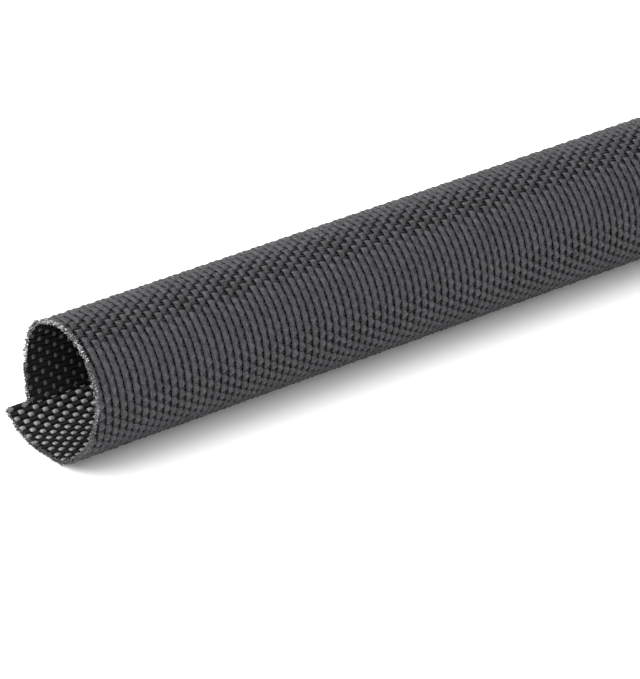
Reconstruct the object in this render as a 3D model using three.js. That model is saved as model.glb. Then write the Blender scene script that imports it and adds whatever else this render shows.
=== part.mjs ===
// Self-closing woven cable sleeve: one length of heat-set cloth with the section of an open scroll.
// Millimetres, +Z up. The sleeve runs along X and lies on its underside on the plane z = 0.
import * as THREE from 'three';

// Stock: the cut length and the thickness of the cloth.
const sleeveLength = 500;
const wall = 0.7;

// The scroll, seen along +X, from the edge of the inner lap over the crown to the tip of the flap.
// Radii are those of the outer face, and turns are in degrees.
const lapEdgeHeading = 63;
const innerLap = { radius: 18, turn: 30 };
const shoulder = { radius: 5.4, turn: 61 };
const crown = { radius: 9.9, turn: 121 };
const belly = { radius: 11.5, turn: 55 };
const heelRadius = 5;
const floorRest = { run: 4.6 };
const flap = { radius: 12, turn: 37.5 };

// The near end is cut aslant with scissors: the crown stands back from the flap by this much
// for each millimetre of height, and the side away from the lap by this much for each of width.
const cutBackPerHeight = 0.151;
const cutBackPerWidth = 0.106;

// The longest facet of the round stretches.
const facetLength = 1.2;

// The plain finish of the solid.
const clothColour = 0x3a3a3d;
const clothRoughness = 0.9;

// The heel takes the rest of the full turn, so that the stretch on the floor lies level.
const fullTurn = 360;
const turnsBeforeHeel = [innerLap, shoulder, crown, belly]
  .reduce((heading, { turn }) => heading + turn, lapEdgeHeading);
const heel = { radius: heelRadius, turn: fullTurn - turnsBeforeHeel };
const stretches = [innerLap, shoulder, crown, belly, heel, floorRest, flap];

function leftNormal(heading) {
  return new THREE.Vector2(-Math.sin(heading), Math.cos(heading));
}

// Stations of the outer face, each a point and a heading, for a list of arcs and straight runs.
function walkStretches(list, startHeading) {
  let point = new THREE.Vector2(0, 0);
  let heading = startHeading;
  const stations = [{ point, heading }];
  for (const { radius, turn, run } of list) {
    if (run !== undefined) {
      const forward = new THREE.Vector2(Math.cos(heading), Math.sin(heading));
      point = point.clone().addScaledVector(forward, run);
      stations.push({ point, heading });
      continue;
    }
    const sweep = THREE.MathUtils.degToRad(turn);
    const centre = point.clone().addScaledVector(leftNormal(heading), radius);
    const facets = Math.ceil(radius * sweep / facetLength);
    for (let facet = 1; facet <= facets; facet += 1) {
      const stationHeading = heading + sweep * facet / facets;
      const onArc = centre.clone().addScaledVector(leftNormal(stationHeading), -radius);
      stations.push({ point: onArc, heading: stationHeading });
      point = onArc;
    }
    heading += sweep;
  }
  return stations;
}

// The closed outline of the wall: out along the outer face, back along the inner face.
function makeSectionOutline() {
  const stations = walkStretches(stretches, THREE.MathUtils.degToRad(lapEdgeHeading));
  const outerFace = stations.map(({ point }) => point);
  const innerFace = stations.map(({ point, heading }) => (
    point.clone().addScaledVector(leftNormal(heading), wall)));
  return [...outerFace, ...innerFace.reverse()];
}

// The outline is moved so that it stands on height 0 and its width is centred.
function seatOnFloor(outline) {
  const box = new THREE.Box2().setFromPoints(outline);
  const seat = new THREE.Vector2((box.min.x + box.max.x) / 2, box.min.y);
  return outline.map((point) => point.clone().sub(seat));
}

// How far the slanted cut stands back from a square end at one point of the section.
function cutBack(across, height) {
  return cutBackPerHeight * height - cutBackPerWidth * across;
}

function makeSleeveGeometry() {
  const outline = seatOnFloor(makeSectionOutline());
  const geometry = new THREE.ExtrudeGeometry(new THREE.Shape(outline), {
    depth: sleeveLength,
    bevelEnabled: false,
    steps: 1,
  });
  // The section's across and up become Y and Z, and the extrusion runs along X.
  const toFrame = new THREE.Matrix4().makeBasis(
    new THREE.Vector3(0, 1, 0),
    new THREE.Vector3(0, 0, 1),
    new THREE.Vector3(1, 0, 0),
  );
  geometry.applyMatrix4(toFrame);
  geometry.translate(-sleeveLength / 2, 0, 0);
  const leastCutBack = Math.min(...outline.map(({ x, y }) => cutBack(x, y)));
  const corners = geometry.attributes.position;
  for (let corner = 0; corner < corners.count; corner += 1) {
    if (corners.getX(corner) < 0) {
      const slant = cutBack(corners.getY(corner), corners.getZ(corner)) - leastCutBack;
      corners.setX(corner, -sleeveLength / 2 + slant);
    }
  }
  geometry.computeVertexNormals();
  return geometry;
}

function makeSleeve() {
  const charcoalCloth = new THREE.MeshStandardMaterial({
    color: clothColour,
    roughness: clothRoughness,
    metalness: 0,
  });
  const sleeve = new THREE.Mesh(makeSleeveGeometry(), charcoalCloth);
  sleeve.name = 'sleeve';
  return sleeve;
}

const group = new THREE.Group();
group.add(makeSleeve());

export default group;
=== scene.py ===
import math

import bmesh
import bpy
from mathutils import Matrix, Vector


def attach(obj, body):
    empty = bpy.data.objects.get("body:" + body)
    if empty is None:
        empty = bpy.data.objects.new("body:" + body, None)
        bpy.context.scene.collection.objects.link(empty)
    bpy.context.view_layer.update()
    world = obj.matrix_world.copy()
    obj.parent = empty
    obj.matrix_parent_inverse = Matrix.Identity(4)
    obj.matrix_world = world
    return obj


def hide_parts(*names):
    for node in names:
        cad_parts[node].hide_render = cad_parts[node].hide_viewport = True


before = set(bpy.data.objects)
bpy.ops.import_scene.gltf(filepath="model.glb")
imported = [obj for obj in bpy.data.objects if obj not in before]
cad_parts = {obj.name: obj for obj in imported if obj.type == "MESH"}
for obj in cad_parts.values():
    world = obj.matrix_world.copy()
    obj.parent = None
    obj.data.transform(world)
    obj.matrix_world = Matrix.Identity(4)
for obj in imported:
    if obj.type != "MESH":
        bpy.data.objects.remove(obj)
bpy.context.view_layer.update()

# The sleeve as it is in the part's source, in metres, with turns in degrees.
# An arc is given by the radius of its outer face and its turn.
SLEEVE_LENGTH = 0.5
WALL = 0.0007
LAP_EDGE_HEADING = 63
INNER_LAP = (0.018, 30)
SHOULDER = (0.0054, 61)
CROWN = (0.0099, 121)
BELLY = (0.0115, 55)
HEEL_RADIUS = 0.005
FLOOR_REST = 0.0046
FLAP = (0.012, 37.5)
CUT_BACK_PER_HEIGHT = 0.151
CUT_BACK_PER_WIDTH = 0.106
FULL_TURN = 360

# The weave: rib yarns run round the section, and thin end yarns run lengthwise through them.
RIB_PITCH = 0.001164
RIB_COUNT = int(SLEEVE_LENGTH / RIB_PITCH)
RIB_WIDTH = 0.00106
RIB_THICKNESS = 0.00044
RIB_SIDES = 6
RIB_WAVE = 0.00012
RIB_PIECES = 4
END_YARN_COUNT = 70
END_YARN_THICKNESS = 0.00019
END_YARN_SIDES = 3
END_YARN_WAVE = 0.00007
END_YARN_PIECES = 2
YARN_DRIFT = 0.00006

# Shares by which the ribs wave more or less on parts of the section.
CROWN_WAVE_GAIN = 0.9
LOW_WAVE_GAIN = 0.35
SIDE_WAVE_LOSS = 0.5

# Between which two values each part fades in, first by how far the wall faces the back (+Y)
# and then by how far it faces up (+Z).
CROWN_BACK_EDGE = (0.12, -0.02)
CROWN_FRONT_EDGE = (-0.6, -0.4)
BACK_EDGE = (0.1, 0.4)
UPPER_EDGE = (-0.2, 0.6)
FLAP_EDGE = (-0.7, -0.4)
UNDERSIDE_EDGE = (-0.95, -0.7)

# The ribs' wave is uneven by noise along each rib. Slower noise shifts the ribs along the sleeve
# and the end yarns sideways. A step sets how far the noise moves on from one rib to the next.
UNEVENNESS = 0.5
UNEVENNESS_PER_METRE = 160.0
UNEVENNESS_STEP = 3.71
DRIFT_PER_METRE = 110.0
DRIFT_STEP = 0.4
DRIFT_LAYER = 5.0
WANDER_STEP = 0.9
WANDER_LAYER = 9.0

# At the long edges of the cloth, the ribs lean together in pairs by this share of the pitch.
SELVEDGE_LEAN = 0.4

# Flat end yarns lie side by side within the wall, and close the weave to light.
CORE_DEPTH = 0.0002
CORE_THICKNESS = 0.00005
CORE_SIDES = 4

# How finely the section is followed to seat it, to find its cut, and for its line.
SEAT_SAMPLES = 2000
CUT_STATIONS_PER_END_YARN = 4
LINE_STATIONS_PER_END_YARN = 2

# The cut yarns fray into loose fibres round both ends.
FIBRE_COUNT = 1400
FIBRE_LENGTH = 0.00034
FIBRE_THICKNESS = 0.00014
FIBRE_SIDES = 3
FIBRE_SPREAD = 0.8
FRAY_SEED = 7

# One fibre is a bent line of unit length, and it thins by this share towards its tip.
FIBRE_STEPS = 3
FIBRE_START = (0, 0, -0.35)
FIBRE_MIDDLE = (0.02, 0, 0.4)
FIBRE_TIP = (0.3, 0, 1.0)
FIBRE_TAPER = 0.6

# The fibres' lengths vary between these shares, and they grow this far from the wall's middle.
FIBRE_LEAST_LENGTH = 0.35
FIBRE_MOST_LENGTH = 1.25
FIBRE_WALL_SHARE = 0.42

# Each random draw of the fibres has its own number.
THROUGH_DRAW = 1
SHADE_DRAW = 2
ASIDE_DRAW = 3
LENGTH_DRAW = 4

# The colours are linear.
RIB_COLOUR = (0.0125, 0.0125, 0.0131, 1)
RIB_LIGHT_COLOUR = (0.049, 0.048, 0.0514, 1)
# The inner face of the ribs is coloured darker than the outside as painted shade, and the tops of its
# floats pale as a painted highlight.
INNER_PAINTED_SHADE_COLOUR = (0.017, 0.017, 0.0175, 1)
FLOAT_PAINTED_HIGHLIGHT_COLOUR = (0.15, 0.15, 0.153, 1)
CORE_COLOUR = (0.015, 0.015, 0.0155, 1)
END_YARN_COLOUR = (0.016, 0.016, 0.0165, 1)
END_YARN_LIGHT_COLOUR = (0.04, 0.04, 0.042, 1)
# Loose fibres: a dark colour, which is also the painted shade on fibres below, and a near-white one that
# is a painted highlight on fibres that face up.
FIBRE_COLOUR = (0.075, 0.075, 0.078, 1)
FIBRE_PAINTED_HIGHLIGHT_COLOUR = (0.72, 0.72, 0.735, 1)
YARN_TINT = (0.95, 0.93, 1, 1)
FLOOR_COLOUR = (0.92, 0.92, 0.92, 1)
WORLD_COLOUR = (1, 1, 1, 1)

# The gloss of the ribs outside, and of the floats inside.
RIB_GLOSS = 0.36
FLOAT_ROUGHNESS = 0.45
FLOAT_COAT_ROUGHNESS = 0.3
FLOAT_COAT_IOR = 1.6

# Where a rib's face counts as the inner one, where its wave counts as a float whose top gets the painted
# highlight, and
# # where the wall faces up enough to show the fibres pale as painted light from above.
INNER_FACE_EDGE = (-0.1, -0.7)
FLOAT_EDGE = (0.1, 1.0)
FIBRE_PAINTED_LIGHT_EDGE = (-0.7, 0.95)

# Filaments are noise drawn out along the yarn, twisted a little, with slower noise in patches.
# The steps set how far the noise moves on from yarn to yarn, and how slow the patches are.
FILAMENT_TWIST = 0.35
FILAMENT_YARN_STEP = 7.31
FILAMENT_DETAIL = 2.0
FILAMENT_ROUGHNESS = 0.6
FILAMENT_EDGE = (0.42, 0.62)
PATCH_STEP = 0.11
PATCH_LAYER = 3.0

# Filaments are rougher in their valleys and smoother on their ridges.
RELIEF_EDGE = (0.3, 0.7)
VALLEY_ROUGHER = 0.12
RIDGE_SMOOTHER = 0.08
RELIEF_DEPTH = 0.0001

# How bright the surroundings are at the horizon and overhead.
HORIZON_LIGHT = 0.25
ZENITH_LIGHT = 1.85

# Square lights, aimed at a place on the sleeve.
LIGHT_TARGET = (-0.15, 0, 0.01)
KEY_PLACE = (-0.8, 0.42, 0.8)
KEY_SIZE = 1.6
KEY_POWER = 22
FRONT_PLACE = (0.1, -1.0, 0.22)
FRONT_SIZE = 0.4
FRONT_POWER = 4.5

# The floor is dull and lies a hair under the sleeve.
FLOOR_ROUGHNESS = 0.9
FLOOR_HALF_WIDTH = 6
CLEAR_OF_FLOOR = 0.00002

# The camera looks down along the sleeve from beyond its near end.
CAMERA_LENS = 207.49
CAMERA_HEADING = 56.3
CAMERA_ELEVATION = 32.17
CAMERA_DISTANCE = 0.55865
CAMERA_TARGET = (-0.20555, -0.00267, 0.0052)
CAMERA_NEAREST = 0.01
CAMERA_FARTHEST = 100

# What the trees read from the stations and no material needs.
HELPER_ATTRIBUTES = ("outward", "side", "selvedge", "column")

CUT_INPUTS = [
    ("Cut Start", "Float"),
    ("Cut Back Per Height", "Float"),
    ("Cut Back Per Width", "Float"),
    ("Material", "Material"),
]

WEAVE_INPUTS = [
    ("First Rib", "Int"),
    ("Rib Count", "Int"),
    ("Rib Pitch", "Float"),
    ("First Rib X", "Float"),
    ("Wave", "Float"),
    ("Crown Wave Gain", "Float"),
    ("Side Wave Loss", "Float"),
    ("Low Wave Gain", "Float"),
    ("Depth", "Float"),
    ("Drift", "Float"),
    ("Yarn Width", "Float"),
    ("Yarn Thickness", "Float"),
    ("Yarn Sides", "Int"),
] + CUT_INPUTS

FRAY_INPUTS = [
    ("Fibre Count", "Int"),
    ("Fibre Length", "Float"),
    ("Fibre Thickness", "Float"),
    ("Fibre Sides", "Int"),
    ("Spread", "Float"),
    ("Wall", "Float"),
    ("Direction", "Float"),
    ("Seed", "Int"),
] + CUT_INPUTS

FILAMENT_INPUTS = [
    ("Along", "Float"),
    ("Across", "Float"),
    ("Yarn", "Float"),
    ("Streaks Per Metre", "Float"),
    ("Filaments Across", "Float"),
    ("Dark", "Color"),
    ("Light", "Color"),
    ("Patchiness", "Float"),
]


class Station:
    """A place on the wall's middle line, the way outward there, and the end yarn that it belongs to."""

    def __init__(self, place, outward, distance, end_yarn):
        self.place = place
        self.outward = outward
        self.distance = distance
        self.end_yarn = end_yarn


def arc_stretch(outer_radius, turn):
    """Length and turn in radians of the middle line under an outer face of this radius."""
    return ((outer_radius - WALL / 2) * math.radians(turn), math.radians(turn))


def section_stretches():
    """The wall's middle line, from the lap's edge to the flap's tip, as lengths and turns."""
    arcs = [INNER_LAP, SHOULDER, CROWN, BELLY]
    heading_at_heel = LAP_EDGE_HEADING + sum(turn for _, turn in arcs)
    arcs.append((HEEL_RADIUS, FULL_TURN - heading_at_heel))
    stretches = [arc_stretch(*arc) for arc in arcs]
    stretches.append((FLOOR_REST, 0))
    stretches.append(arc_stretch(*FLAP))
    return stretches


def section_length():
    """The length of the wall's middle line, which is the width of the cloth laid flat."""
    return sum(length for length, _ in section_stretches())


def walk_section(distance):
    """The place (across, up) and the heading after this distance along the middle line."""
    across, up, heading = 0, 0, math.radians(LAP_EDGE_HEADING)
    for length, turn in section_stretches():
        step = min(distance, length)
        bend = turn * step / length
        chord = step if turn == 0 else 2 * (length / turn) * math.sin(bend / 2)
        across += chord * math.cos(heading + bend / 2)
        up += chord * math.sin(heading + bend / 2)
        heading += bend
        distance -= step
        if distance <= 0:
            break
    return across, up, heading


def outward_at(heading):
    """Unit vector out of the sleeve, where the middle line has this heading."""
    return Vector((0, math.sin(heading), -math.cos(heading)))


def seat_on_floor():
    """The shift that stands the section on height 0 and centres its width."""
    faces = []
    for sample in range(SEAT_SAMPLES + 1):
        across, up, heading = walk_section(section_length() * sample / SEAT_SAMPLES)
        for to_face in (-WALL / 2, WALL / 2):
            faces.append(Vector((0, across, up)) + outward_at(heading) * to_face)
    left = min(face.y for face in faces)
    right = max(face.y for face in faces)
    low = min(face.z for face in faces)
    return Vector((0, -(left + right) / 2, -low))


def section_stations(per_end_yarn):
    """Evenly spaced stations along the seated middle line, this many for each end yarn."""
    seat = seat_on_floor()
    count = END_YARN_COUNT * per_end_yarn
    stations = []
    for number in range(count):
        distance = section_length() * (number + 0.5) / count
        across, up, heading = walk_section(distance)
        place = Vector((0, across, up)) + seat
        stations.append(Station(place, outward_at(heading), distance, number // per_end_yarn))
    return stations


def near_cut_start():
    """Where the near end's cut plane meets the x axis, from the least cut back of the section."""
    least = min(
        CUT_BACK_PER_HEIGHT * (station.place.z + station.outward.z * to_face)
        - CUT_BACK_PER_WIDTH * (station.place.y + station.outward.y * to_face)
        for station in section_stations(CUT_STATIONS_PER_END_YARN)
        for to_face in (-WALL / 2, WALL / 2)
    )
    return -SLEEVE_LENGTH / 2 - least


def placed_object(name, data):
    """A new object of the scene that shows this data."""
    made = bpy.data.objects.new(name, data)
    bpy.context.scene.collection.objects.link(made)
    return made


def station_object(name, per_end_yarn, joined):
    """The stations as a mesh of points, joined into one line if asked, with what the trees read."""
    stations = section_stations(per_end_yarn)
    steps = range(len(stations) - 1) if joined else ()
    mesh = bpy.data.meshes.new(name)
    mesh.from_pydata([station.place for station in stations], [(step, step + 1) for step in steps], [])
    outward = mesh.attributes.new("outward", "FLOAT_VECTOR", "POINT")
    outward.data.foreach_set("vector", [part for station in stations for part in station.outward])
    numbers = {
        "distance": [station.distance for station in stations],
        "side": [-1 if station.end_yarn % 2 else 1 for station in stations],
        "selvedge": [1] + [0] * (len(stations) - 2) + [-1],
        "column": [station.end_yarn for station in stations],
    }
    for label, values in numbers.items():
        mesh.attributes.new(label, "FLOAT", "POINT").data.foreach_set("value", values)
    return placed_object(name, mesh)


def keep_points(points, first, count):
    """Leaves only these points in a mesh of loose points."""
    shape = bmesh.new()
    shape.from_mesh(points.data)
    shape.verts.ensure_lookup_table()
    gone = [vert for vert in shape.verts if not first <= vert.index < first + count]
    bmesh.ops.delete(shape, geom=gone, context="VERTS")
    shape.to_mesh(points.data)
    shape.free()


class Nodes:
    """A node tree under construction, with short ways to add what every kind of tree uses."""

    def __init__(self, tree):
        self.tree = tree

    def put(self, socket, value):
        """Links the socket to another one, or gives it a plain value."""
        if isinstance(value, bpy.types.NodeSocket):
            self.tree.links.new(value, socket)
        else:
            socket.default_value = value

    def add(self, kind, sockets=None, **settings):
        """A node with these settings, and its sockets set or linked by name or number."""
        node = self.tree.nodes.new(kind)
        for setting, value in settings.items():
            setattr(node, setting, value)
        for key, value in (sockets or {}).items():
            self.put(node.inputs[key], value)
        return node

    def result(self, kind, sockets=None, **settings):
        """The first output of a new node."""
        return self.add(kind, sockets, **settings).outputs[0]

    def math(self, operation, first, second):
        return self.result("ShaderNodeMath", {0: first, 1: second}, operation=operation)

    def plus(self, first, second):
        return self.math("ADD", first, second)

    def minus(self, first, second):
        return self.math("SUBTRACT", first, second)

    def times(self, first, second):
        return self.math("MULTIPLY", first, second)

    def vector(self, x=0.0, y=0.0, z=0.0):
        return self.result("ShaderNodeCombineXYZ", {0: x, 1: y, 2: z})

    def split(self, vector):
        """The three parts of a vector."""
        return self.add("ShaderNodeSeparateXYZ", {0: vector}).outputs

    def ramp(self, value, start, end, low=0.0, high=1.0, blend="LINEAR"):
        """Low up to the start and high beyond the end, with an even change between them."""
        sockets = {0: value, 1: start, 2: end, 3: low, 4: high}
        return self.result("ShaderNodeMapRange", sockets, interpolation_type=blend)

    def noise(self, place, scale=1.0, detail=1.0, roughness=0.5):
        """Smooth noise from 0 to 1."""
        sockets = {"Vector": place, "Scale": scale, "Detail": detail, "Roughness": roughness}
        return self.result("ShaderNodeTexNoise", sockets, noise_dimensions="3D")

    def mix(self, amount, first, second, kind="RGBA"):
        """The first value where the amount is 0, and the second where it is 1."""
        first_key, second_key, output = {"RGBA": (6, 7, 2), "FLOAT": (2, 3, 0)}[kind]
        sockets = {0: amount, first_key: first, second_key: second}
        return self.add("ShaderNodeMix", sockets, data_type=kind).outputs[output]


class Group(Nodes):
    """A node group under construction, with named inputs and results."""

    def __init__(self, name, kind, inputs, results):
        super().__init__(bpy.data.node_groups.new(name, kind))
        for direction, sockets in (("INPUT", inputs), ("OUTPUT", results)):
            for label, value in sockets:
                self.tree.interface.new_socket(label, in_out=direction, socket_type="NodeSocket" + value)
        self.inputs = self.tree.nodes.new("NodeGroupInput").outputs
        self.results = self.tree.nodes.new("NodeGroupOutput").inputs


class GeometryTree(Group):
    """A geometry tree that grows yarns or fibres from a mesh of stations."""

    def __init__(self, name, inputs):
        geometry = [("Geometry", "Geometry")]
        super().__init__(name, "GeometryNodeTree", geometry + inputs, geometry)
        self.tree.is_modifier = True

    def scaled(self, vector, factor):
        return self.result("ShaderNodeVectorMath", {0: vector, "Scale": factor}, operation="SCALE")

    def smooth(self, value, edge):
        """0 up to the start of the edge and 1 beyond its end, with a smooth change between them."""
        return self.ramp(value, *edge, blend="SMOOTHSTEP")

    def swing(self, place, scale=1.0):
        """Smooth noise from -1 to 1."""
        return self.times(self.minus(self.noise(place, scale), 0.5), 2.0)

    def read(self, name, kind="FLOAT"):
        return self.result("GeometryNodeInputNamedAttribute", {"Name": name}, data_type=kind)

    def store(self, geometry, name, value):
        sockets = {"Geometry": geometry, "Name": name, "Value": value}
        return self.result("GeometryNodeStoreNamedAttribute", sockets, data_type="FLOAT")

    def move(self, geometry, offset):
        return self.result("GeometryNodeSetPosition", {"Geometry": geometry, "Offset": offset})

    def place(self):
        """The three parts of a point's position."""
        return self.split(self.result("GeometryNodeInputPosition"))

    def copies(self, points, instance):
        """A copy of the instance at each point."""
        made = self.result("GeometryNodeInstanceOnPoints", {"Points": points, "Instance": instance})
        return self.result("GeometryNodeRealizeInstances", {0: made})

    def cut_at(self, place):
        """The cut plane's x at a place's height and width."""
        by_height = self.times(place[2], self.inputs["Cut Back Per Height"])
        by_width = self.times(place[1], self.inputs["Cut Back Per Width"])
        return self.plus(self.inputs["Cut Start"], self.minus(by_height, by_width))

    def trimmed(self, lines, slack):
        """The lines without their points that stand beyond the cut by more than the slack."""
        place = self.place()
        beyond = self.math("LESS_THAN", place[0], self.minus(self.cut_at(place), slack))
        sockets = {"Geometry": lines, "Selection": beyond}
        return self.result("GeometryNodeDeleteGeometry", sockets, domain="POINT")

    def ring(self, sides, radius):
        sockets = {"Resolution": sides, "Radius": radius}
        return self.result("GeometryNodeCurvePrimitiveCircle", sockets, mode="RADIUS")

    def swept(self, curves, profile):
        sockets = {"Curve": curves, "Profile Curve": profile, "Fill Caps": True}
        return self.result("GeometryNodeCurveToMesh", sockets)

    def tube(self, lines):
        """Yarns along the lines, flat to the wall's face, finished with the material."""
        profile = self.ring(self.inputs["Yarn Sides"], 1.0)
        place = self.place()
        profile = self.store(profile, "across", place[1])
        profile = self.store(profile, "outer", place[0])
        half_thickness = self.times(self.inputs["Yarn Thickness"], 0.5)
        half_width = self.times(self.inputs["Yarn Width"], 0.5)
        flattened = {"Geometry": profile, "Scale": self.vector(half_thickness, half_width, 1.0)}
        profile = self.result("GeometryNodeTransform", flattened)
        curves = self.result("GeometryNodeMeshToCurve", {0: lines})
        upright = {"Curve": curves, "Normal": self.read("outward", "FLOAT_VECTOR")}
        curves = self.result("GeometryNodeSetCurveNormal", upright, mode="FREE")
        return self.finished(self.swept(curves, profile))

    def finished(self, geometry):
        """The geometry made real, shaded smooth and given the material, as the tree's result."""
        geometry = self.result("GeometryNodeRealizeInstances", {0: geometry})
        smooth = self.result("GeometryNodeSetShadeSmooth", {0: geometry})
        sockets = {"Geometry": smooth, "Material": self.inputs["Material"]}
        self.put(self.results[0], self.result("GeometryNodeSetMaterial", sockets))
        return self.tree


def rib_row(tree):
    """One point at each rib's place along the sleeve, which carries the rib's number."""
    first = tree.inputs["First Rib"]
    pitch = tree.inputs["Rib Pitch"]
    number = tree.plus(tree.result("GeometryNodeInputIndex"), first)
    start = tree.plus(tree.inputs["First Rib X"], tree.times(first, pitch))
    sockets = {
        "Count": tree.inputs["Rib Count"],
        "Start Location": tree.vector(start),
        "Offset": tree.vector(pitch),
    }
    row = tree.result("GeometryNodeMeshLine", sockets, mode="OFFSET")
    return tree.store(row, "rib", number)


def alternating(tree):
    """1 on even ribs, and -1 on odd ones."""
    return tree.math("COSINE", tree.times(tree.read("rib"), math.pi), 0.0)


def over_under(tree):
    """1 where the rib lies outside the end yarn, and -1 where it lies inside."""
    return tree.times(alternating(tree), tree.read("side"))


def wave_gain(tree, outward):
    """How strongly a rib waves: most in a band on the crown, least on the upper side and the back."""
    _, to_back, up = tree.split(outward)
    above_middle = tree.smooth(up, UPPER_EDGE)
    on_crown = tree.times(tree.smooth(to_back, CROWN_BACK_EDGE), tree.smooth(to_back, CROWN_FRONT_EDGE))
    on_crown = tree.times(on_crown, above_middle)
    towards_back = tree.smooth(to_back, BACK_EDGE)
    on_back = tree.times(towards_back, tree.smooth(up, FLAP_EDGE))
    on_side = tree.times(above_middle, tree.minus(1.0, on_crown))
    on_side = tree.math("MAXIMUM", on_side, on_back)
    on_low_side = tree.times(tree.smooth(up, UNDERSIDE_EDGE), tree.minus(1.0, above_middle))
    on_low_side = tree.times(on_low_side, tree.minus(1.0, towards_back))
    gain = tree.plus(1.0, tree.times(on_crown, tree.inputs["Crown Wave Gain"]))
    gain = tree.plus(gain, tree.times(on_low_side, tree.inputs["Low Wave Gain"]))
    return tree.minus(gain, tree.times(on_side, tree.inputs["Side Wave Loss"]))


def shift_along(tree):
    """How far a rib is shifted along the sleeve, by its drift and by its lean at the cloth's edges."""
    run = tree.times(tree.read("distance"), DRIFT_PER_METRE)
    step = tree.times(tree.read("rib"), DRIFT_STEP)
    drift = tree.times(tree.swing(tree.vector(run, step, DRIFT_LAYER)), tree.inputs["Drift"])
    lean = tree.times(alternating(tree), tree.times(tree.inputs["Rib Pitch"], SELVEDGE_LEAN))
    return tree.vector(tree.plus(drift, tree.times(lean, tree.read("selvedge"))))


def rib_tree():
    """Copies the section's line along the sleeve and weaves each copy over and under the end yarns."""
    tree = GeometryTree("rib yarns", WEAVE_INPUTS)
    lines = tree.copies(rib_row(tree), tree.inputs["Geometry"])
    outward = tree.read("outward", "FLOAT_VECTOR")
    gain = wave_gain(tree, outward)
    step = tree.times(tree.read("rib"), UNEVENNESS_STEP)
    unevenness = tree.swing(tree.vector(tree.read("distance"), step), UNEVENNESS_PER_METRE)
    wave = tree.times(over_under(tree), tree.inputs["Wave"])
    lift = tree.times(wave, tree.plus(1.0, tree.times(unevenness, UNEVENNESS)))
    lift = tree.times(lift, gain)
    # How far the rib dips inward also sets how pale its float tops are painted; it is least on the back
    # wall, so the painted highlight fades there.
    inward = tree.times(tree.times(over_under(tree), gain), -1.0)
    lines = tree.store(lines, "inward", inward)
    lines = tree.move(lines, tree.scaled(outward, lift))
    lines = tree.move(lines, shift_along(tree))
    return tree.tube(tree.trimmed(lines, 0.0))


def end_yarn_tree():
    """Runs a line along the sleeve at each end yarn's place, waved against the ribs and cut aslant."""
    tree = GeometryTree("end yarns", WEAVE_INPUTS)
    lines = tree.copies(tree.inputs["Geometry"], rib_row(tree))
    outward = tree.read("outward", "FLOAT_VECTOR")
    wave = tree.times(over_under(tree), tree.inputs["Wave"])
    inward = tree.plus(wave, tree.inputs["Depth"])
    lines = tree.move(lines, tree.scaled(outward, tree.times(inward, -1.0)))
    noise_place = tree.vector(tree.read("rib"), tree.read("column"), WANDER_LAYER)
    wander = tree.times(tree.swing(noise_place, WANDER_STEP), tree.inputs["Drift"])
    sideways = tree.result("ShaderNodeVectorMath", {0: outward, 1: (1, 0, 0)}, operation="CROSS_PRODUCT")
    lines = tree.move(lines, tree.scaled(sideways, wander))
    lines = tree.trimmed(lines, tree.inputs["Rib Pitch"])
    place = tree.place()
    kept = tree.math("MAXIMUM", place[0], tree.cut_at(place))
    sockets = {"Geometry": lines, "Position": tree.vector(kept, place[1], place[2])}
    return tree.tube(tree.result("GeometryNodeSetPosition", sockets))


def random_value(tree, low, high, draw, kind="FLOAT"):
    """A random value for each point, between the low and the high one."""
    node = tree.add("FunctionNodeRandomValue", data_type=kind)
    low_key, high_key, output = {"FLOAT": (2, 3, 1), "FLOAT_VECTOR": (0, 1, 0)}[kind]
    tree.put(node.inputs[low_key], low)
    tree.put(node.inputs[high_key], high)
    tree.put(node.inputs["Seed"], tree.plus(tree.inputs["Seed"], float(draw)))
    return node.outputs[output]


def bent_fibre(tree):
    """One fibre of unit length along Z, bent a little and tapering to its tip."""
    bend = {"Resolution": FIBRE_STEPS, "Start": FIBRE_START, "Middle": FIBRE_MIDDLE, "End": FIBRE_TIP}
    spine = tree.result("GeometryNodeCurveQuadraticBezier", bend)
    along = tree.result("GeometryNodeSplineParameter")
    taper = tree.minus(1.0, tree.times(along, FIBRE_TAPER))
    spine = tree.result("GeometryNodeSetCurveRadius", {"Curve": spine, "Radius": taper})
    spine = tree.store(spine, "along", along)
    thickness = tree.math("DIVIDE", tree.inputs["Fibre Thickness"], tree.inputs["Fibre Length"])
    return tree.swept(spine, tree.ring(tree.inputs["Fibre Sides"], tree.times(thickness, 0.5)))


def fray_tree():
    """Scatters loose fibres over the cut face of the wall at one end."""
    tree = GeometryTree("frayed fibres", FRAY_INPUTS)
    curve = tree.result("GeometryNodeMeshToCurve", {0: tree.inputs["Geometry"]})
    sockets = {"Curve": curve, "Count": tree.inputs["Fibre Count"]}
    points = tree.result("GeometryNodeCurveToPoints", sockets, mode="COUNT")
    outward = tree.read("outward", "FLOAT_VECTOR")
    through = random_value(tree, -FIBRE_WALL_SHARE, FIBRE_WALL_SHARE, THROUGH_DRAW)
    points = tree.move(points, tree.scaled(outward, tree.times(through, tree.inputs["Wall"])))
    points = tree.move(points, tree.vector(tree.cut_at(tree.place())))
    # How far the wall faces up sets the fibres' painted light from above.
    points = tree.store(points, "crown", tree.ramp(tree.split(outward)[2], *FIBRE_PAINTED_LIGHT_EDGE))
    points = tree.store(points, "shade", random_value(tree, 0.0, 1.0, SHADE_DRAW))
    aside = random_value(tree, (-1, -1, -1), (1, 1, 1), ASIDE_DRAW, "FLOAT_VECTOR")
    aside = tree.scaled(aside, tree.inputs["Spread"])
    ahead = tree.vector(tree.inputs["Direction"])
    heading = tree.result("ShaderNodeVectorMath", {0: ahead, 1: aside}, operation="ADD")
    facing = tree.result("FunctionNodeAlignRotationToVector", {"Vector": heading}, axis="Z")
    length = random_value(tree, FIBRE_LEAST_LENGTH, FIBRE_MOST_LENGTH, LENGTH_DRAW)
    length = tree.times(length, tree.inputs["Fibre Length"])
    sockets = {"Points": points, "Instance": bent_fibre(tree), "Rotation": facing, "Scale": length}
    return tree.finished(tree.result("GeometryNodeInstanceOnPoints", sockets))


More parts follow.
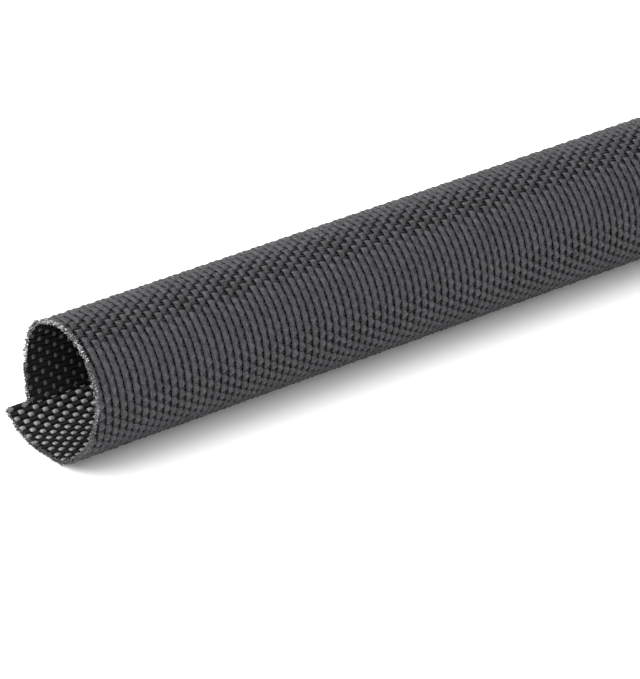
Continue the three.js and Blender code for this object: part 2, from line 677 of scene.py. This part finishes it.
def grown_piece(name, source, tree, values):
    """Runs a tree on the source's mesh and keeps the result as a plain mesh piece."""
    modifier = source.modifiers.new(name, "NODES")
    modifier.node_group = tree
    for item in tree.interface.items_tree:
        if item.in_out == "INPUT" and item.name in values:
            modifier[item.identifier] = values[item.name]
    source.update_tag()
    evaluated = source.evaluated_get(bpy.context.evaluated_depsgraph_get())
    mesh = bpy.data.meshes.new_from_object(evaluated)
    mesh.name = name
    source.modifiers.remove(modifier)
    for label in HELPER_ATTRIBUTES:
        if label in mesh.attributes:
            mesh.attributes.remove(mesh.attributes[label])
    return placed_object(name, mesh)


def filament_group():
    """Fine filaments that run along a yarn: their colour and their height."""
    results = [("Color", "Color"), ("Height", "Float")]
    group = Group("Filaments", "ShaderNodeTree", FILAMENT_INPUTS, results)
    inputs = group.inputs
    run = group.times(inputs["Along"], inputs["Streaks Per Metre"])
    row = group.times(inputs["Across"], inputs["Filaments Across"])
    twisted = group.plus(row, group.times(run, FILAMENT_TWIST))
    yarn = group.times(inputs["Yarn"], FILAMENT_YARN_STEP)
    height = group.noise(
        group.vector(run, twisted, yarn), detail=FILAMENT_DETAIL, roughness=FILAMENT_ROUGHNESS
    )
    sharp = group.ramp(height, *FILAMENT_EDGE)
    patches = group.noise(group.vector(group.times(run, PATCH_STEP), yarn, PATCH_LAYER))
    shift = group.times(group.minus(patches, 0.5), inputs["Patchiness"])
    amount = group.result("ShaderNodeMath", {0: sharp, 1: shift}, operation="ADD", use_clamp=True)
    group.put(group.results["Color"], group.mix(amount, inputs["Dark"], inputs["Light"]))
    group.put(group.results["Height"], height)
    return group.tree


class Material(Nodes):
    """A material under construction, with the inputs of its shader."""

    def __init__(self, name):
        self.material = bpy.data.materials.new(name)
        self.material.use_nodes = True
        super().__init__(self.material.node_tree)
        self.shader = self.tree.nodes["Principled BSDF"].inputs

    def set(self, label, value):
        self.put(self.shader[label], value)

    def linked(self, label):
        """What an input of the shader is linked to so far."""
        return self.shader[label].links[0].from_socket

    def attribute(self, name):
        return self.add("ShaderNodeAttribute", attribute_name=name).outputs["Fac"]


def yarn_look(name, group, attributes, values, roughness, gloss, bump):
    """A yarn's material: filaments from its own attributes, a soft gloss and a fine bump."""
    look = Material(name)
    sockets = {label: look.attribute(attribute) for label, attribute in attributes.items()}
    sockets.update(values)
    filaments = look.add("ShaderNodeGroup", sockets, node_tree=group).outputs
    height = filaments["Height"]
    look.set("Base Color", filaments["Color"])
    look.set(
        "Roughness",
        look.ramp(height, *RELIEF_EDGE, roughness + VALLEY_ROUGHER, roughness - RIDGE_SMOOTHER),
    )
    relief = {"Height": height, "Strength": bump, "Distance": RELIEF_DEPTH}
    look.set("Normal", look.result("ShaderNodeBump", relief))
    look.set("Specular IOR Level", gloss)
    look.set("Specular Tint", YARN_TINT)
    return look


def rib_material(group):
    """The rib yarn has a soft gloss outside. Inside it has no gloss and is coloured darker as painted
    shade, but for the tops of its floats, which are painted pale as a highlight under a glossy coat.
    """
    look = yarn_look(
        "rib yarn",
        group,
        {"Along": "distance", "Across": "across", "Yarn": "rib"},
        {
            "Streaks Per Metre": 2400.0,
            "Filaments Across": 3.2,
            "Dark": RIB_COLOUR,
            "Light": RIB_LIGHT_COLOUR,
            "Patchiness": 0.7,
        },
        roughness=0.48,
        gloss=RIB_GLOSS,
        bump=0.9,
    )
    # Inside, the rib is painted darker as shade, and its float tops pale as a highlight with a glossy
    # coat.
    inner_face = look.ramp(look.attribute("outer"), *INNER_FACE_EDGE)
    float_top = look.times(inner_face, look.ramp(look.attribute("inward"), *FLOAT_EDGE))
    look.set("Specular IOR Level", look.times(look.minus(1.0, inner_face), RIB_GLOSS))
    # Painted shade on the inner face first, then the painted highlight on the float tops.
    colour = look.mix(inner_face, look.linked("Base Color"), INNER_PAINTED_SHADE_COLOUR)
    look.set("Base Color", look.mix(float_top, colour, FLOAT_PAINTED_HIGHLIGHT_COLOUR))
    look.set("Roughness", look.mix(float_top, look.linked("Roughness"), FLOAT_ROUGHNESS, "FLOAT"))
    look.set("Coat Weight", float_top)
    look.set("Coat Roughness", FLOAT_COAT_ROUGHNESS)
    look.set("Coat IOR", FLOAT_COAT_IOR)
    return look.material


def end_yarn_material(group):
    """The end yarns are thin and darker than the ribs."""
    return yarn_look(
        "end yarn",
        group,
        {"Along": "rib", "Across": "across", "Yarn": "rib"},
        {
            "Streaks Per Metre": 1.3,
            "Filaments Across": 2.0,
            "Dark": END_YARN_COLOUR,
            "Light": END_YARN_LIGHT_COLOUR,
            "Patchiness": 0.4,
        },
        roughness=0.6,
        gloss=0.3,
        bump=0.4,
    ).material


def core_material(group):
    """The flat core yarns are dark and have no gloss."""
    return yarn_look(
        "core end yarn",
        group,
        {"Along": "rib", "Across": "across", "Yarn": "rib"},
        {
            "Streaks Per Metre": 300.0,
            "Filaments Across": 4.0,
            "Dark": CORE_COLOUR,
            "Light": END_YARN_COLOUR,
            "Patchiness": 0.4,
        },
        roughness=0.6,
        gloss=0.0,
        bump=0.2,
    ).material


def fibre_material(group):
    """Loose fibres are painted pale on the crown, as light from above that the cut shows them to, and
    darker below as painted shade.
    """
    look = yarn_look(
        "frayed fibre",
        group,
        {"Along": "along", "Across": "shade", "Yarn": "shade"},
        {
            "Streaks Per Metre": 2.0,
            "Filaments Across": 1.5,
            "Dark": FIBRE_COLOUR,
            "Light": FIBRE_PAINTED_HIGHLIGHT_COLOUR,
            "Patchiness": 1.2,
        },
        roughness=0.5,
        gloss=0.4,
        bump=0.1,
    )
    # Painted shade on fibres below, painted highlight on those that face up.
    crown = look.attribute("crown")
    look.set("Base Color", look.mix(crown, FIBRE_COLOUR, look.linked("Base Color")))
    return look.material


def floor_material():
    look = Material("pale floor")
    look.set("Base Color", FLOOR_COLOUR)
    look.set("Roughness", FLOOR_ROUGHNESS)
    return look.material


def aim(thing, direction):
    """Turns a camera or a light so that it looks this way."""
    thing.rotation_mode = "QUATERNION"
    thing.rotation_quaternion = direction.to_track_quat("-Z", "Y")


def make_camera():
    data = bpy.data.cameras.new("camera")
    data.lens = CAMERA_LENS
    data.clip_start = CAMERA_NEAREST
    data.clip_end = CAMERA_FARTHEST
    camera = placed_object("camera", data)
    heading = math.radians(CAMERA_HEADING)
    tilt = math.radians(CAMERA_ELEVATION)
    forward = Vector((
        math.cos(tilt) * math.cos(heading), math.cos(tilt) * math.sin(heading), -math.sin(tilt)
    ))
    camera.location = Vector(CAMERA_TARGET) - forward * CAMERA_DISTANCE
    aim(camera, forward)
    bpy.context.scene.camera = camera


def make_floor():
    size = FLOOR_HALF_WIDTH
    mesh = bpy.data.meshes.new("floor")
    corners = [(-size, -size, 0), (size, -size, 0), (size, size, 0), (-size, size, 0)]
    mesh.from_pydata(corners, [], [(0, 1, 2, 3)])
    mesh.materials.append(floor_material())
    floor = placed_object("floor", mesh)
    floor.location.z = -CLEAR_OF_FLOOR


def make_light(name, place, size, power):
    data = bpy.data.lights.new(name, "AREA")
    data.shape = "SQUARE"
    data.size = size
    data.energy = power
    light = placed_object(name, data)
    light.location = place
    aim(light, Vector(LIGHT_TARGET) - Vector(place))


def make_surroundings():
    """White where the camera sees them, and brighter overhead than at the horizon as a light."""
    world = bpy.data.worlds.new("studio")
    world.use_nodes = True
    nodes = Nodes(world.node_tree)
    background = world.node_tree.nodes["Background"].inputs
    nodes.put(background["Color"], WORLD_COLOUR)
    height = nodes.split(nodes.add("ShaderNodeTexCoord").outputs["Generated"])[2]
    strength = nodes.ramp(height, 0.0, 1.0, HORIZON_LIGHT, ZENITH_LIGHT)
    seen_directly = nodes.add("ShaderNodeLightPath").outputs["Is Camera Ray"]
    nodes.put(background["Strength"], nodes.math("MAXIMUM", strength, seen_directly))
    bpy.context.scene.world = world


def make_lights():
    make_surroundings()
    make_light("key", KEY_PLACE, KEY_SIZE, KEY_POWER)
    make_light("front", FRONT_PLACE, FRONT_SIZE, FRONT_POWER)


def cut_values(start, per_height, per_width):
    """The inputs that place the cut at one end."""
    return {"Cut Start": start, "Cut Back Per Height": per_height, "Cut Back Per Width": per_width}


def near_cut():
    return cut_values(near_cut_start(), CUT_BACK_PER_HEIGHT, CUT_BACK_PER_WIDTH)


def weave_values(first, count, material, shape):
    """The inputs that all weaves share, and those of one kind of yarn, which go before them."""
    values = {
        "First Rib": first,
        "Rib Count": count,
        "Rib Pitch": RIB_PITCH,
        "First Rib X": -SLEEVE_LENGTH / 2 + RIB_PITCH / 2,
        "Drift": YARN_DRIFT,
        "Material": material,
    }
    values.update(near_cut())
    values.update(shape)
    return values


def share(total, parts, part):
    """First number and count of one of nearly equal parts."""
    first = total * part // parts
    return first, total * (part + 1) // parts - first


def make_ribs(group):
    """The rib yarns, in a few pieces one after another along the sleeve."""
    line = station_object("section_line", LINE_STATIONS_PER_END_YARN, True)
    tree = rib_tree()
    material = rib_material(group)
    shape = {
        "Wave": RIB_WAVE,
        "Crown Wave Gain": CROWN_WAVE_GAIN,
        "Side Wave Loss": SIDE_WAVE_LOSS,
        "Low Wave Gain": LOW_WAVE_GAIN,
        "Yarn Width": RIB_WIDTH,
        "Yarn Thickness": RIB_THICKNESS,
        "Yarn Sides": RIB_SIDES,
    }
    pieces = []
    for part in range(RIB_PIECES):
        first, count = share(RIB_COUNT, RIB_PIECES, part)
        values = weave_values(first, count, material, shape)
        pieces.append(grown_piece(f"rib_yarns_{part + 1}", line, tree, values))
    bpy.data.objects.remove(line)
    return pieces


def make_end_yarns(group):
    """The round end yarns, in a few pieces one after another round the section."""
    tree = end_yarn_tree()
    shape = {
        "Wave": END_YARN_WAVE,
        "Yarn Width": END_YARN_THICKNESS,
        "Yarn Thickness": END_YARN_THICKNESS,
        "Yarn Sides": END_YARN_SIDES,
    }
    values = weave_values(0, RIB_COUNT, end_yarn_material(group), shape)
    pieces = []
    for part in range(END_YARN_PIECES):
        places = station_object("end_yarn_places", 1, False)
        keep_points(places, *share(END_YARN_COUNT, END_YARN_PIECES, part))
        pieces.append(grown_piece(f"end_yarns_{part + 1}", places, tree, values))
        bpy.data.objects.remove(places)
    return pieces


def make_core(group):
    """Straight flat end yarns side by side, from the near cut to the far end."""
    places = station_object("core_places", 1, False)
    first, second = section_stations(1)[:2]
    shape = {
        "First Rib X": -SLEEVE_LENGTH / 2,
        "Rib Pitch": SLEEVE_LENGTH,
        "Wave": 0.0,
        "Depth": CORE_DEPTH,
        "Drift": 0.0,
        "Yarn Width": second.distance - first.distance,
        "Yarn Thickness": CORE_THICKNESS,
        "Yarn Sides": CORE_SIDES,
    }
    points_per_yarn = 2
    values = weave_values(0, points_per_yarn, core_material(group), shape)
    piece = grown_piece("core_end_yarns", places, end_yarn_tree(), values)
    bpy.data.objects.remove(places)
    return piece


def make_frays(group):
    """Loose fibres round the slanted near end and the square far end."""
    line = station_object("fray_line", LINE_STATIONS_PER_END_YARN, True)
    tree = fray_tree()
    material = fibre_material(group)
    far_cut = cut_values(SLEEVE_LENGTH / 2, 0.0, 0.0)
    pieces = []
    for end, direction, cut in (("near", -1, near_cut()), ("far", 1, far_cut)):
        values = {
            "Fibre Count": FIBRE_COUNT,
            "Fibre Length": FIBRE_LENGTH,
            "Fibre Thickness": FIBRE_THICKNESS,
            "Fibre Sides": FIBRE_SIDES,
            "Spread": FIBRE_SPREAD,
            "Wall": WALL,
            "Direction": float(direction),
            "Seed": FRAY_SEED + direction,
            "Material": material,
        }
        values.update(cut)
        pieces.append(grown_piece(f"frayed_{end}_end", line, tree, values))
    bpy.data.objects.remove(line)
    return pieces


bpy.context.scene.view_settings.view_transform = "Standard"
make_camera()
make_floor()
make_lights()
filaments = filament_group()
core = make_core(filaments)
yarns = make_ribs(filaments) + make_end_yarns(filaments) + make_frays(filaments)
for piece in [core] + yarns:
    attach(piece, "root")
    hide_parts("sleeve")
